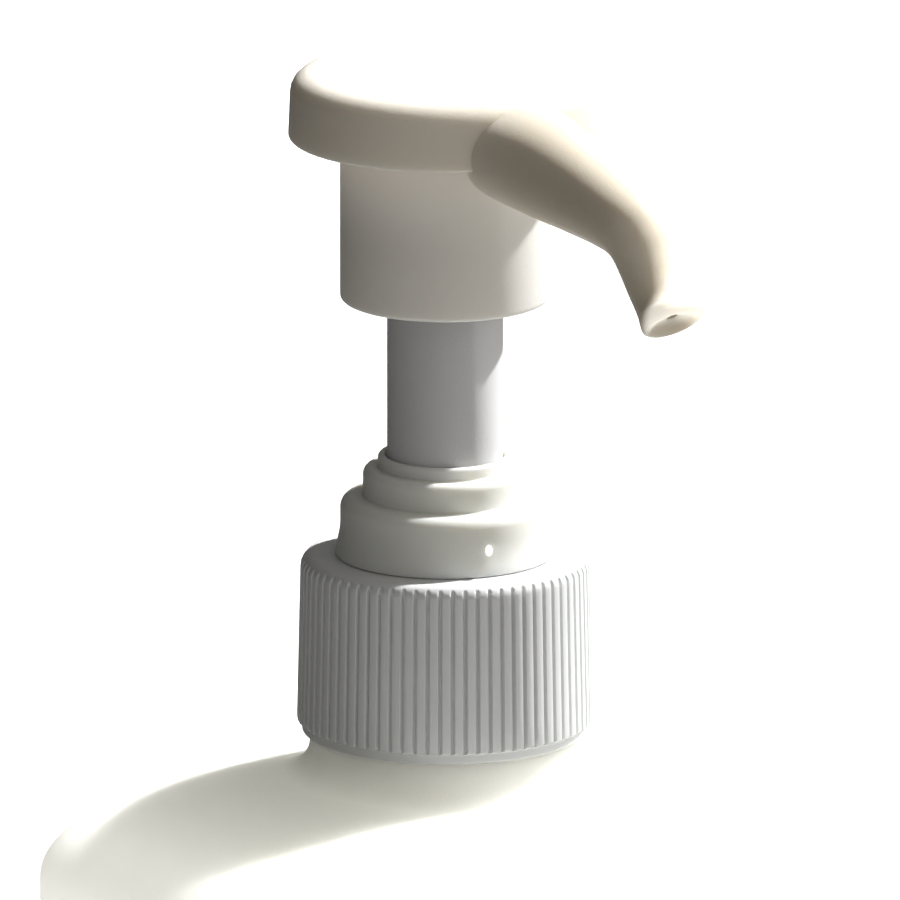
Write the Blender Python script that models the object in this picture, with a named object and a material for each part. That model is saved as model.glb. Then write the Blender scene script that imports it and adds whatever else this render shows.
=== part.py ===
"""Pump dispenser on a wide oval bottle: a screw closure, a stepped collar and a bent spout.

+Z is up, the origin is the centre of the bottle's base, the spout points along -Y and the bottle
is widest along X. Sizes are in millimetres and become metres where a mesh is made.
"""

from math import acos, atan2, cos, pi, sin, sqrt, tau

import bmesh
import bpy
from mathutils import Matrix, Vector

MM = 0.001
GAP = 0.3
ROUND = 36

# Bottle
SEAT_Z = 180.0            # height of the closure's lower edge: the closure and pump are measured from it
HALF_WIDTH = 57.0
HALF_DEPTH = 42.5
BASE_ROUND = 8.0
WALL = 1.6
SHOULDER_Z = -5.2         # the shoulder's crown
SHOULDER_DROP = 15.0
CROWN_HALF_WIDTH = 12.0   # the shoulder curves down from this small oval
CROWN_HALF_DEPTH = 6.4
NECK_FOOT_R = 24.0
NECK_BASE_R = 19.4
NECK_R = 17.5
NECK_BORE_R = 15.7
NECK_TOP = 20.8
BODY_SQUARENESS = 3.0     # exponent of the body's outline, 2 is an ellipse

# Screw thread, the same helix on the neck and in the closure
PITCH = 4.233
THREAD_TURNS = 1.5
THREAD_DEPTH = 1.1
THREAD_START = 10.0

# Closure
CLOSURE_TOP = 26.0
CLOSURE_INNER_R = 19.2
CLOSURE_HOLE_R = 14.0
LIP_R = 20.5
LIP_TOP = 2.1
RIB_COUNT = 72
RIB_R_LOW = 21.2
RIB_R_HIGH = 20.7
RIB_DEPTH = 0.55
RIB_TOP = 24.2
PLATE = 1.8

# Pump cylinder
BORE_R = 12.0
HOUSING_R = 13.5
FLANGE_R = 18.2
FLANGE_LOW = 22.6
FLANGE_HIGH = 23.9
BORE_END = -42.5
SEAT_EDGE_R = 3.3
SOCKET_END = -70.0
TUBE_R = 4.0
TUBE_BORE_R = 2.9
TUBE_FLOOR_GAP = 6.0

# Plunger, drawn raised
STEM_R = 8.3
STEM_BORE_R = 6.3
STEM_LOW = 3.0
STEM_HIGH = 85.3
SPRING_TURNS = 9
SPRING_R = 9.3
SPRING_WIRE_R = 0.65
OUTLET_BALL_R = 3.9
INLET_BALL_R = 4.2

# Collar, in three tiers over a skirt that screws the pump's parts together
COLLAR_LOW = 26.3
COLLAR_HIGH = 40.7
COLLAR_FOOT_R = 15.8
TIER_LOW_R = 15.0
TIER_MIDDLE_R = 11.75
TIER_TOP_R = 9.6
COLLAR_INNER_LOW = 14.5
PIP_Z = 29.6
PIP_R = 0.5
PIP_ROOT_R = 14.4
PIP_TIP_R = 15.7
PIP_TURN = 8.7            # degrees from the spout towards -X

# Head
HEAD_TOP = 96.8
DRUM_LOW = 87.3
DRUM_R = 22.4
DRUM_TOP_R = 22.0
DRUM_ROUND = 3.0
SOCKET_R = 10.4
SLEEVE_R = 15.0
SLEEVE_WALL = 1.5
SLEEVE_LOW = 63.5
SLEEVE_HIGH = 93.4
SPOUT_PASSAGE_R = 2.2
PASSAGE_DROP = 7.9        # from the head's top to the middle of the passage over the stem
MOUTH_R = 3.4
INLET_R = 4.6


def clear_scene():
    for item in list(bpy.data.objects):
        bpy.data.objects.remove(item, do_unlink=True)


def plastic(name, colour, roughness, metallic=0.0):
    """A plain Principled material."""
    material = bpy.data.materials.new(name)
    material.use_nodes = True
    shader = material.node_tree.nodes["Principled BSDF"]
    shader.inputs["Base Color"].default_value = (*colour, 1.0)
    shader.inputs["Roughness"].default_value = roughness
    shader.inputs["Metallic"].default_value = metallic
    material.diffuse_color = (*colour, 1.0)
    return material


def link_ring_pair(bm, ring, following):
    """Faces between two closed rings, whose point counts are equal or one a multiple of the other."""
    if len(ring) > len(following):
        ring, following = following, ring
    count = len(ring)
    if count == 1:
        for index, vert in enumerate(following):
            bm.faces.new((ring[0], vert, following[(index + 1) % len(following)]))
        return
    ratio = len(following) // count
    for index in range(count):
        here = ring[index]
        there = ring[(index + 1) % count]
        fan = [following[(index * ratio + step) % len(following)] for step in range(ratio + 1)]
        for left, right in zip(fan[:-2], fan[1:-1]):
            bm.faces.new((here, left, right))
        bm.faces.new((here, fan[-2], fan[-1], there))


def lofted(name, rings, closed, material, smooth_angle=35.0):
    """A solid through rings of points: closed joins the last ring to the first, otherwise both ends
    are single points or flat caps."""
    bm = bmesh.new()
    made = [[bm.verts.new(Vector(point) * MM) for point in ring] for ring in rings]
    for ring, following in zip(made, made[1:]):
        link_ring_pair(bm, ring, following)
    if closed:
        link_ring_pair(bm, made[-1], made[0])
    else:
        for ring in (made[0], made[-1]):
            if len(ring) > 1:
                bm.faces.new(ring)
    bmesh.ops.recalc_face_normals(bm, faces=bm.faces)
    mesh = bpy.data.meshes.new(name)
    bm.to_mesh(mesh)
    bm.free()
    mesh.shade_smooth()
    mesh.set_sharp_from_angle(angle=smooth_angle * pi / 180.0)
    mesh.materials.append(material)
    item = bpy.data.objects.new(name, mesh)
    bpy.context.scene.collection.objects.link(item)
    return item


def circle(radius, height, count=ROUND):
    """A level ring, or a single point where the radius is zero."""
    if radius == 0.0:
        return [(0.0, 0.0, height)]
    return [(radius * cos(tau * i / count), radius * sin(tau * i / count), height) for i in range(count)]


def above_seat(outline):
    """Outline points whose heights are measured from the closure's lower edge."""
    return [(radius, height + SEAT_Z) for radius, height in outline]


def turned(name, outline, material, count=ROUND, closed=None):
    """A turned solid from (radius, height) points, closed unless it starts on the axis."""
    if closed is None:
        closed = outline[0][0] != 0.0
    rings = [circle(radius, height, count) for radius, height in outline]
    return lofted(name, rings, closed, material)


def arc(centre, radius, start, end, steps):
    """Points of an outline arc, in degrees; radius may be a pair for an elliptical one."""
    wide, tall = radius if isinstance(radius, tuple) else (radius, radius)
    angles = [(start + (end - start) * i / steps) * pi / 180.0 for i in range(steps + 1)]
    return [(centre[0] + wide * cos(a), centre[1] + tall * sin(a)) for a in angles]


def combine(item, tool, operation):
    """Apply a Boolean to item and drop the tool."""
    modifier = item.modifiers.new(operation.lower(), "BOOLEAN")
    modifier.operation = operation
    modifier.solver = "EXACT"
    modifier.object = tool
    graph = bpy.context.evaluated_depsgraph_get()
    result = bpy.data.meshes.new_from_object(item.evaluated_get(graph))
    item.modifiers.clear()
    item.data = result
    result.shade_smooth()
    result.set_sharp_from_angle(angle=35.0 * pi / 180.0)
    bpy.data.objects.remove(tool, do_unlink=True)


def rod(name, start, end, radius, material, count=16):
    """A plain round bar between two points."""
    axis = Vector(end) - Vector(start)
    turn = axis.to_track_quat("Z", "Y").to_matrix().to_4x4()
    place = Matrix.Translation(Vector(start)) @ turn
    rings = [[tuple(place @ Vector(point)) for point in circle(radius, height, count)]
             for height in (0.0, axis.length)]
    return lofted(name, rings, False, material)


def thread_ridge(name, root_r, tip_r, start, material):
    """A helical ridge that runs out at both ends."""
    steps = int(THREAD_TURNS * 20)
    rings = []
    for i in range(steps + 1):
        angle = THREAD_TURNS * tau * i / steps
        fade = min(1.0, i / 3.0, (steps - i) / 3.0)
        tip = root_r + (tip_r - root_r) * max(fade, 0.15)
        middle = SEAT_Z + start + PITCH * angle / tau
        outward = (cos(angle), sin(angle))
        section = ((root_r, -1.0), (tip, -0.5), (tip, 0.5), (root_r, 1.0))
        rings.append([(r * outward[0], r * outward[1], middle + h) for r, h in section])
    return lofted(name, rings, False, material)


def oval_reach(angle, half_width, half_depth, squareness):
    """Distance from the axis to a superellipse, in a direction."""
    along = abs(cos(angle)) / half_width
    across = abs(sin(angle)) / half_depth
    return (along ** squareness + across ** squareness) ** (-1.0 / squareness)


def body_ring(inset, height):
    """A level ring of the body's wall."""
    ring = []
    for x, y, z in circle(1.0, height):
        angle = atan2(y, x)
        reach = oval_reach(angle, HALF_WIDTH - inset, HALF_DEPTH - inset, BODY_SQUARENESS)
        ring.append((reach * cos(angle), reach * sin(angle), z))
    return ring


def shoulder_ring(inset, part):
    """A ring of the shoulder: part runs from 0 at the body's wall to 1 at the neck's foot."""
    ring = []
    for x, y, _ in circle(1.0, 0.0):
        angle = atan2(y, x)
        edge = oval_reach(angle, HALF_WIDTH - inset, HALF_DEPTH - inset, BODY_SQUARENESS)
        crown = oval_reach(angle, CROWN_HALF_WIDTH, CROWN_HALF_DEPTH, 2.0)
        foot = (NECK_FOOT_R - inset - crown) / (edge - crown)
        spread = cos(part * acos(foot))
        reach = crown + (edge - crown) * spread
        drop = (SHOULDER_DROP - inset) * (1.0 - sqrt(1.0 - spread * spread))
        ring.append((reach * cos(angle), reach * sin(angle), SEAT_Z + SHOULDER_Z - inset - drop))
    return ring


def bottle_skin(inset):
    """The bottle's rings from its base up to the foot of its neck, moved in by inset."""
    rings = []
    for i in range(4):
        angle = pi / 2 * i / 3
        bend = BASE_ROUND - inset
        rings.append(body_ring(inset + bend * (1.0 - sin(angle)), inset + bend * (1.0 - cos(angle))))
    steps = 7
    rings += [shoulder_ring(inset, i / steps) for i in range(steps + 1)]
    return rings


def make_bottle(material):
    outer = bottle_skin(0.0)
    neck_outer = above_seat([(NECK_BASE_R + 1.4, -4.0), (NECK_BASE_R + 0.3, -2.9), (NECK_BASE_R, -1.6),
                             (NECK_BASE_R - 0.3, -0.4), (NECK_R, -0.4), (NECK_R, NECK_TOP - 0.4),
                             (NECK_R - 0.4, NECK_TOP)])
    neck_inner = above_seat([(NECK_BORE_R, NECK_TOP), (NECK_BORE_R, -2.0), (NECK_BORE_R + 2.2, -5.4)])
    outer += [circle(radius, height) for radius, height in neck_outer]
    inner = bottle_skin(WALL)
    inner += [circle(radius, height) for radius, height in reversed(neck_inner)]
    rings = [[(0.0, 0.0, 0.0)]] + outer + inner[::-1] + [[(0.0, 0.0, WALL)]]
    bottle = lofted("bottle", rings, False, material)
    ridge = thread_ridge("neck_thread", NECK_R - 0.4, NECK_R + THREAD_DEPTH, THREAD_START, material)
    combine(bottle, ridge, "UNION")
    return bottle


def ribbed_ring(radius, height):
    """A ring of upright ribs: four points a rib, two on its crown and two in the groove."""
    ring = []
    for i in range(RIB_COUNT):
        for part, reach in ((0.0, -RIB_DEPTH), (0.2, 0.0), (0.5, 0.12), (0.8, 0.0)):
            angle = tau * (i + part) / RIB_COUNT
            r = radius - 0.12 + reach
            ring.append((r * cos(angle), r * sin(angle), SEAT_Z + height))
    return ring


def make_closure(material):
    def plain(points):
        return [circle(radius, SEAT_Z + height, RIB_COUNT) for radius, height in points]

    rings = plain([(CLOSURE_INNER_R, 0.0), (LIP_R - 0.3, 0.0), (LIP_R, 0.4), (LIP_R, LIP_TOP - 0.5)])
    rings.append(ribbed_ring(RIB_R_LOW, LIP_TOP))
    rings.append(ribbed_ring(RIB_R_HIGH, RIB_TOP))
    rings += plain([(RIB_R_HIGH - 0.5, RIB_TOP + 0.8), (RIB_R_HIGH - 1.6, CLOSURE_TOP - 0.3),
                    (RIB_R_HIGH - 2.6, CLOSURE_TOP), (CLOSURE_HOLE_R, CLOSURE_TOP),
                    (CLOSURE_HOLE_R, CLOSURE_TOP - PLATE), (CLOSURE_INNER_R, CLOSURE_TOP - PLATE)])
    closure = lofted("closure", rings, True, material)
    ridge = thread_ridge("cap_thread", CLOSURE_INNER_R + 0.4, CLOSURE_INNER_R - THREAD_DEPTH,
                         THREAD_START - PITCH / 2, material)
    combine(closure, ridge, "UNION")
    return closure


def make_neck_gasket(material):
    low = NECK_TOP + GAP
    high = FLANGE_LOW - GAP
    outline = above_seat([(HOUSING_R + 0.5, low), (NECK_R + 0.8, low),
                          (NECK_R + 0.8, high), (HOUSING_R + 0.5, high)])
    return turned("neck_gasket", outline, material)


def make_housing(material):
    outline = above_seat([
        (BORE_R, CLOSURE_TOP + 1.6), (BORE_R, BORE_END), (6.8, BORE_END), (6.8, -50.5),
        (SEAT_EDGE_R, -54.0), (SEAT_EDGE_R, -56.0), (TUBE_R + GAP, -56.0), (TUBE_R + GAP, SOCKET_END),
        (5.9, SOCKET_END), (5.9, -57.0), (8.6, -53.0), (8.6, BORE_END - 2.0), (12.3, BORE_END - 2.0),
        (HOUSING_R, BORE_END - 0.8), (HOUSING_R, FLANGE_LOW), (FLANGE_R, FLANGE_LOW),
        (FLANGE_R, FLANGE_HIGH), (HOUSING_R, FLANGE_HIGH), (HOUSING_R, CLOSURE_TOP + 1.6)])
    housing = turned("pump_housing", outline, material)
    height = SEAT_Z + 10.0
    drill = rod("vent_drill", (-20.0, 0.0, height), (20.0, 0.0, height), 0.8, material, 10)
    combine(housing, drill, "DIFFERENCE")
    return housing


def make_dip_tube(material):
    low = TUBE_FLOOR_GAP
    high = SEAT_Z - 56.0 - GAP
    outline = [(TUBE_BORE_R, low), (TUBE_R, low), (TUBE_R, high), (TUBE_BORE_R, high)]
    return turned("dip_tube", outline, material, 24)


def make_collar(material):
    outline = [(COLLAR_FOOT_R, COLLAR_LOW), (TIER_LOW_R + 0.35, 28.0)]
    outline += [(TIER_LOW_R + 0.1, 29.6), (TIER_LOW_R, 31.2)]
    outline += arc((TIER_LOW_R - 2.8, 31.2), (2.8, 3.4), 22.5, 90.0, 3)
    outline += [(TIER_MIDDLE_R, 34.8), (TIER_MIDDLE_R, 37.1)]
    outline += arc((TIER_MIDDLE_R - 1.65, 37.1), (1.65, 1.7), 30.0, 90.0, 2)
    outline += [(TIER_TOP_R, 39.0), (TIER_TOP_R, 39.8), (TIER_TOP_R - 0.4, 40.5)]
    outline += [(STEM_R + GAP, COLLAR_HIGH), (STEM_R + GAP, 36.0), (10.2, 34.0)]
    outline += [(10.2, COLLAR_INNER_LOW), (BORE_R - GAP, COLLAR_INNER_LOW)]
    outline += [(BORE_R - GAP, 28.2), (HOUSING_R + GAP, 28.2), (HOUSING_R + GAP, COLLAR_LOW)]
    collar = turned("collar", above_seat(outline), material)
    turn = PIP_TURN * pi / 180.0
    root, tip = [(-r * sin(turn), -r * cos(turn), SEAT_Z + PIP_Z) for r in (PIP_ROOT_R, PIP_TIP_R)]
    pip = rod("pip", root, tip, PIP_R, material, 10)
    combine(collar, pip, "UNION")
    return collar


def make_stem(material):
    outline = above_seat([(STEM_BORE_R, STEM_LOW), (STEM_R, STEM_LOW),
                          (STEM_R, STEM_HIGH), (STEM_BORE_R, STEM_HIGH)])
    return turned("stem", outline, material)


def make_piston_core(material):
    flange_high = STEM_LOW - GAP
    outline = above_seat([(3.0, -4.0), (7.0, -4.0), (7.0, 0.2), (11.0, 0.2), (11.0, flange_high),
                          (6.0, flange_high), (6.0, 8.2), (5.0, 8.2), (3.0, 6.2)])
    return turned("piston_core", outline, material, 32)


def make_piston_seal(material):
    inner = STEM_R + GAP
    outer = BORE_R - GAP
    outline = above_seat([(inner, STEM_LOW), (10.0, STEM_LOW), (10.4, 5.0), (outer - 0.2, STEM_LOW),
                          (outer, 4.0), (outer - 0.6, 6.2), (outer - 0.6, 9.6), (outer, 12.0),
                          (outer - 0.2, 13.0), (10.4, 10.6), (10.0, 13.0), (inner, 13.0)])
    return turned("piston_seal", outline, material)


def make_ball(name, radius, height, material):
    """A check ball with its origin at its centre."""
    steps = 8
    outline = [(radius * sin(pi * i / steps), -radius * cos(pi * i / steps)) for i in range(steps + 1)]
    outline[0] = (0.0, -radius)
    outline[-1] = (0.0, radius)
    ball = turned(name, outline, material, 16)
    ball.location = (0.0, 0.0, (SEAT_Z + height) * MM)
    return ball


def make_cage(name, outer, inner, low, high, material):
    """A ring with two crossing bars over it, which stop the ball."""
    outline = above_seat([(inner, low), (outer, low), (outer, high), (inner, high)])
    cage = turned(name, outline, material, 24)
    reach = (outer + inner) / 2
    middle = SEAT_Z + high - 0.9
    for start, end in (((-reach, 0.0, middle), (reach, 0.0, middle)),
                       ((0.0, -reach, middle), (0.0, reach, middle))):
        combine(cage, rod("bar", start, end, 0.7, material, 8), "UNION")
    return cage


def make_spring(material):
    """A coil whose end turns lie flat."""
    low = BORE_END + GAP + SPRING_WIRE_R
    high = 0.2 - GAP - SPRING_WIRE_R
    flat = 2.4 * SPRING_WIRE_R
    steps = SPRING_TURNS * 12
    rings = []
    for i in range(steps + 1):
        turns = SPRING_TURNS * i / steps
        if turns < 1.0:
            height = low + flat * turns
        elif turns > SPRING_TURNS - 1.0:
            height = high - flat * (SPRING_TURNS - turns)
        else:
            height = low + flat + (high - low - 2 * flat) * (turns - 1.0) / (SPRING_TURNS - 2.0)
        angle = turns * tau
        ring = []
        for k in range(5):
            around = tau * k / 5
            r = SPRING_R + SPRING_WIRE_R * cos(around)
            ring.append((r * cos(angle), r * sin(angle), SEAT_Z + height + SPRING_WIRE_R * sin(around)))
        rings.append(ring)
    return lofted("return_spring", rings, False, material, 180.0)


# The spout's sections: reach from the axis, drop below the head's top, half-width, half-height and
# how steeply the section faces down, in degrees
SPOUT = (
    (14.6, 7.8, 3.6, 3.4, 3.0), (15.6, 7.8, 6.2, 5.2, 3.0), (17.4, 7.8, 8.1, 6.6, 4.0),
    (20.5, 7.9, 8.9, 7.2, 5.0), (28.6, 8.9, 7.6, 7.1, 9.0), (37.5, 10.4, 6.2, 6.1, 11.0),
    (44.0, 11.7, 5.3, 5.2, 15.0), (48.4, 13.1, 4.8, 4.7, 28.0), (50.6, 15.0, 4.1, 4.0, 45.0),
    (52.3, 17.8, 3.6, 3.6, 54.0), (54.0, 20.4, 3.4, 3.4, 53.0), (55.5, 22.0, 3.45, 3.45, 51.0),
    (57.0, 22.8, 3.95, 3.95, 50.0), (58.2, 23.1, 4.55, 4.55, 50.0), (59.1, 23.95, 4.75, 4.75, 50.0),
)


def smooth_rows(rows, steps):
    """Catmull-Rom curve through rows of numbers, steps spans between each pair."""
    padded = [rows[0], *rows, rows[-1]]
    out = []
    for a, b, c, d in zip(padded, padded[1:], padded[2:], padded[3:]):
        for i in range(steps):
            t = i / steps
            out.append(tuple(0.5 * (2 * q + (r - p) * t + (2 * p - 5 * q + 4 * r - s) * t * t
                                    + (3 * q - p - 3 * r + s) * t ** 3)
                             for p, q, r, s in zip(a, b, c, d)))
    out.append(tuple(rows[-1]))
    return out


def spout_rings(rows, count=20):
    """Oval rings along the spout, each facing forward along -Y and down by its own angle."""
    rings = []
    for reach, drop, half_width, half_height, tilt in rows:
        centre = Vector((0.0, -reach, SEAT_Z + HEAD_TOP - drop))
        slope = tilt * pi / 180.0
        up = Vector((0.0, -sin(slope), cos(slope)))
        side = Vector((1.0, 0.0, 0.0))
        rings.append([tuple(centre + side * half_width * cos(a) + up * half_height * sin(a))
                      for a in (tau * k / count for k in range(count))])
    return rings


def move_along(row, distance, radius):
    """The section a distance further along its own facing direction, round and of another size."""
    reach, drop, _, _, tilt = row
    slope = tilt * pi / 180.0
    return (reach + distance * cos(slope), drop + distance * sin(slope), radius, radius, tilt)


def make_head(material):
    top = HEAD_TOP
    rim_centre = (DRUM_TOP_R - DRUM_ROUND, top - DRUM_ROUND)
    outline = [(0.0, top)] + arc(rim_centre, DRUM_ROUND, 90.0, 0.0, 4)
    outline += [(DRUM_R - 0.1, DRUM_LOW + 0.5), (DRUM_R - 0.5, DRUM_LOW), (DRUM_R - 2.0, DRUM_LOW)]
    outline += [(DRUM_R - 2.2, top - 2.4), (SOCKET_R, top - 2.4), (SOCKET_R, 78.0)]
    outline += [(STEM_R + GAP, 78.0), (STEM_R + GAP, STEM_HIGH + GAP), (STEM_BORE_R, STEM_HIGH + GAP)]
    outline += [(STEM_BORE_R, top - 4.2), (0.0, top - 4.2)]
    head = turned("actuator_head", above_seat(outline), material, closed=False)
    rows = smooth_rows(SPOUT, 2)
    rows.append(move_along(SPOUT[-1], 0.5, SPOUT[-1][2] - 0.2))
    rows.append(move_along(SPOUT[-1], 0.8, SPOUT[-1][2] - 0.6))
    spout = lofted("spout", spout_rings(rows), False, material)
    clearance = turned("clearance", above_seat([(0.0, 60.0), (SLEEVE_R + GAP, 60.0),
                                                (SLEEVE_R + GAP, top - 2.0), (0.0, top - 2.0)]), material)
    combine(spout, clearance, "DIFFERENCE")
    combine(head, spout, "UNION")
    height = SEAT_Z + top - PASSAGE_DROP
    inlet = rod("inlet", (0.0, -9.0, height), (0.0, -17.0, height), INLET_R, material, 20)
    combine(head, inlet, "UNION")
    passage = [(0.0, PASSAGE_DROP, SPOUT_PASSAGE_R, SPOUT_PASSAGE_R, 0.0)]
    passage += [(reach, drop, SPOUT_PASSAGE_R, SPOUT_PASSAGE_R, tilt)
                for reach, drop, _, _, tilt in SPOUT[3:-3]]
    passage.append(move_along(SPOUT[-1], -1.0, SPOUT_PASSAGE_R))
    passage.append(move_along(SPOUT[-1], -0.2, MOUTH_R - 0.6))
    passage.append(move_along(SPOUT[-1], 0.5, MOUTH_R - 0.1))
    passage.append(move_along(SPOUT[-1], 1.2, MOUTH_R + 0.4))
    combine(head, lofted("passage", spout_rings(passage, 16), False, material), "DIFFERENCE")
    return head


def make_sleeve(material):
    inner = SLEEVE_R - SLEEVE_WALL
    outline = above_seat([(inner, SLEEVE_LOW), (SLEEVE_R - 0.5, SLEEVE_LOW), (SLEEVE_R, SLEEVE_LOW + 0.6),
                          (SLEEVE_R, SLEEVE_HIGH), (inner, SLEEVE_HIGH)])
    sleeve = turned("skirt_sleeve", outline, material)
    height = SEAT_Z + HEAD_TOP - PASSAGE_DROP
    notch = rod("notch", (0.0, -10.0, height), (0.0, -20.0, height), INLET_R + 2 * GAP, material, 20)
    combine(sleeve, notch, "DIFFERENCE")
    return sleeve


def main():
    clear_scene()
    moulded = plastic("moulded_white", (0.84, 0.83, 0.80), 0.38)
    ribbed = plastic("closure_white", (0.83, 0.83, 0.82), 0.40)
    sheer = plastic("sleeve_white", (0.86, 0.85, 0.82), 0.35)
    milky = plastic("bottle_milky", (0.88, 0.87, 0.82), 0.42)
    inner = plastic("inner_natural", (0.80, 0.81, 0.80), 0.45)
    seal = plastic("seal_plastic", (0.72, 0.74, 0.74), 0.50)
    glass = plastic("ball_glass", (0.70, 0.78, 0.76), 0.10)
    steel = plastic("spring_steel", (0.60, 0.60, 0.59), 0.28, 1.0)

    make_bottle(milky)
    make_closure(ribbed)
    make_neck_gasket(seal)
    make_housing(inner)
    make_dip_tube(inner)
    make_collar(moulded)
    make_stem(moulded)
    make_piston_core(inner)
    make_piston_seal(seal)
    seat_rise = sqrt(OUTLET_BALL_R ** 2 - 3.0 ** 2)
    make_ball("outlet_ball", OUTLET_BALL_R, 6.2 + seat_rise + GAP, glass)
    make_cage("outlet_cage", STEM_BORE_R - GAP, 4.9, 13.2, 17.0, inner)
    make_spring(steel)
    seat_rise = sqrt(INLET_BALL_R ** 2 - SEAT_EDGE_R ** 2)
    make_ball("inlet_ball", INLET_BALL_R, -54.0 + seat_rise + GAP, glass)
    make_cage("inlet_cage", 6.8 - GAP, 4.9, -46.4, BORE_END - GAP, inner)
    make_head(moulded)
    make_sleeve(sheer)


main()
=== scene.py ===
"""Looks for the pump dispenser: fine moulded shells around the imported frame, plastics, light and camera.

Sizes are in millimetres, and heights are measured from the closure's lower edge unless they say
otherwise. They become metres where a mesh is made.
"""

from math import acos, atan2, cos, pi, radians, sin, sqrt, tan, tau

import bmesh
import bpy
from mathutils import Matrix, Vector


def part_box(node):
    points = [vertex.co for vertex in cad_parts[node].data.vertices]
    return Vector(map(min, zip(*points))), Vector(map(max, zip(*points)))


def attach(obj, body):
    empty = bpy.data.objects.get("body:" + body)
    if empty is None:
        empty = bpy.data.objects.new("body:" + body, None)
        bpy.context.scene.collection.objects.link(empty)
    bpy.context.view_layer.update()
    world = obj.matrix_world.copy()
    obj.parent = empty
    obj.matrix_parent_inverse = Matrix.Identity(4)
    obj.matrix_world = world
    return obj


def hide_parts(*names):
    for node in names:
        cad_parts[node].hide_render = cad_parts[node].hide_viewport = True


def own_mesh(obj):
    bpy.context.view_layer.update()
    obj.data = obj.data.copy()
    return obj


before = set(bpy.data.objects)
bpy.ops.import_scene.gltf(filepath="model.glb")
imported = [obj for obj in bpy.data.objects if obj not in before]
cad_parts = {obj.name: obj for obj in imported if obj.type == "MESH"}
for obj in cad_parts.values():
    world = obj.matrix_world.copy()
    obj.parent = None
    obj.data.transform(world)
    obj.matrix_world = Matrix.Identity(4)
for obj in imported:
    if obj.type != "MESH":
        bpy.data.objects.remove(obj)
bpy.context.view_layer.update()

MM = 0.001
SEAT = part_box("closure")[0].z / MM
HEAD_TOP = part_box("actuator_head")[1].z / MM - SEAT
GAP = 0.3                 # between parts that fit or slide in each other
FINE = 144                # points round a turned piece

# Bottle
HALF_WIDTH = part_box("bottle")[1].x / MM
HALF_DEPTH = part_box("bottle")[1].y / MM
BASE_ROUND = 8.0
PUSH_UP = 3.0
WALL = 1.6
SHOULDER_Z = -5.2         # the shoulder's crown
SHOULDER_DROP = 15.0
CROWN_HALF_WIDTH = 12.0   # the shoulder curves down from this small oval
CROWN_HALF_DEPTH = 6.4
NECK_FOOT_R = 24.0
NECK_BASE_R = 19.4
NECK_R = 17.5
NECK_BORE_R = 15.7
NECK_TOP = 20.8
BODY_SQUARENESS = 3.0     # exponent of the body's outline, 2 is an ellipse

# Screw thread, the same helix on the neck and in the closure
PITCH = 4.233
THREAD_TURNS = 1.5
THREAD_DEPTH = 1.1
THREAD_START = 10.0

# Closure
CLOSURE_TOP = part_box("closure")[1].z / MM - SEAT
CLOSURE_INNER_R = 19.2
CLOSURE_HOLE_R = 14.0
LIP_R = 20.5
LIP_TOP = 1.6
RIB_COUNT = 72
# One rib from groove to groove: part of its width, and how far it is sunk as a share of the depth
RIB_GROOVE = ((0.0, 1.0), (0.07, 0.97), (0.12, 0.75), (0.15, 0.25), (0.19, 0.03), (0.33, 0.0),
              (0.5, -0.02), (0.67, 0.0), (0.81, 0.03), (0.85, 0.25), (0.88, 0.75), (0.93, 0.97))
RIB_R_LOW = 21.2
RIB_R_HIGH = 20.7
RIB_DEPTH = 0.8
SHOULDER_ROUND = 1.9
PLATE = 1.8

# Collar
COLLAR_LOW = 26.1
COLLAR_HIGH = 40.7
COLLAR_FOOT_R = 15.8
TIER_LOW_R = 15.0
TIER_LOW_TOP = 34.5
TIER_MIDDLE_R = 11.75
TIER_MIDDLE_TOP = 38.8
TIER_TOP_R = 9.6
COLLAR_BORE_R = 10.2
COLLAR_INNER_LOW = 14.5
PIP_Z = 29.8
PIP_TURN = 8.7            # degrees from the spout towards -X
PIP_R_OUT = 15.15
PIP_HALF_WIDTH = 0.5
PIP_HALF_HEIGHT = 0.8
PIP_HALF_DEPTH = 0.6

# Pump and head
BORE_R = 12.0
HOUSING_R = 13.5
HOUSING_TOP = 27.6
FLANGE_R = 18.2
FLANGE_LOW = 22.6
FLANGE_HIGH = 23.9
SEAT_EDGE_R = 3.3
SOCKET_END = -70.0
CAGE_SEAT_R = 6.8
CAGE_BORE_R = 4.9
TUBE_R = 4.0
TUBE_BORE_R = 2.9
STEM_R = 8.3
STEM_BORE_R = 6.3
STEM_LOW = 3.0
STEM_HIGH = 85.3
SLEEVE_R = 15.0
SLEEVE_WALL = 1.5
SLEEVE_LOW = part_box("skirt_sleeve")[0].z / MM - SEAT
SLEEVE_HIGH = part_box("skirt_sleeve")[1].z / MM - SEAT
DRUM_LOW = 87.3
DRUM_R = 22.4
DRUM_TOP_R = 22.0
DRUM_ROUND = 3.0
TOP_WALL = 2.4
CHAMBER_DROP = 4.2
SOCKET_R = 10.4
SOCKET_LOW = 78.0
PASSAGE_R = 2.2
PASSAGE_DROP = 7.9        # from the head's top to the middle of the passage over the stem
MOUTH_R = 3.4
INLET_R = 4.6
RIM_ROUND = 0.75
BORE_END = -42.5
SPRING_TURNS = 9
SPRING_R = 9.3
SPRING_WIRE_R = 0.65

# Plastic surfaces: noise scales per metre
DRIFT_SCALE = 38.0
FLOW_SCALE = 120.0
GLOSS_SCALE = 260.0
GRAIN_SCALE = 2600.0

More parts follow.
